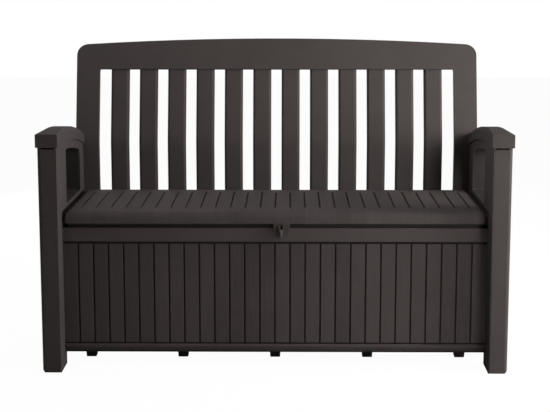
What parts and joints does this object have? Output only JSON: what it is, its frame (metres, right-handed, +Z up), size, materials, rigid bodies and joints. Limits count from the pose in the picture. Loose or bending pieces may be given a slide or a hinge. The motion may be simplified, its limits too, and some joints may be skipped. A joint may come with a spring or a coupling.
{
  "type": "outdoor storage bench",
  "caption": "Outdoor storage bench in moulded resin: slatted backrest, arm frames with windows, plank-grooved box and a hinged seat lid with a padlock hasp.",
  "frame": {"origin": "on the ground, under the middle of the bench's bounding box", "axes": "+X along the seat to the right as seen from the front, +Y from the front to the backrest, +Z up"},
  "size_m": [1.35, 0.6343, 0.9349],
  "materials": {
    "resin": "fine moulded grain, dark brown graphite",
    "cap_resin": "fine moulded grain, dark brown graphite",
    "plank_resin": "plank grooves with a light wood grain",
    "seat_resin": "plank grooves with a light wood grain",
    "backrest_resin": "fine moulded grain, dark brown graphite",
    "floor_resin": "plain moulded",
    "hasp_resin": "smooth moulded",
    "eye_metal": "cast and dark painted, worn at the edges",
    "bush_nylon": "natural nylon",
    "pin_steel": "drawn and black oxide coated",
    "screw_steel": "zinc plated"
  },
  "bodies": {
    "base": {"side_frame_left": "resin", "side_frame_right": "resin", "side_cover_left": "resin", "side_cover_right": "resin", "cover_screws": "screw_steel", "arm_cap_left": "cap_resin", "arm_cap_right": "cap_resin", "front_panel": "plank_resin", "front_panel_screws": "screw_steel", "cross_rail": "floor_resin", "cross_rail_screws": "screw_steel", "rear_panel": "plank_resin", "rear_panel_screws": "screw_steel", "floor_panel": "floor_resin", "backrest": "backrest_resin", "backrest_bolts": "screw_steel", "backrest_screws": "screw_steel", "hinge_pin_left": "pin_steel", "hinge_pin_right": "pin_steel", "lock_eye": "eye_metal", "eye_screws": "screw_steel"},
    "lid": {"seat_lid": "seat_resin", "lid_liner": "floor_resin", "liner_screws": "screw_steel", "hinge_bush_left": "bush_nylon", "hinge_bush_right": "bush_nylon", "lid_hasp": "hasp_resin", "hasp_screws": "screw_steel"}
  },
  "joints": [
    {"name": "lid_hinge", "type": "hinge", "parent": "base", "child": "lid", "pos_m": [0, 0.17184, 0.44], "axis": [-1, 0, 0], "range_deg": [0, 95]}
  ]
}
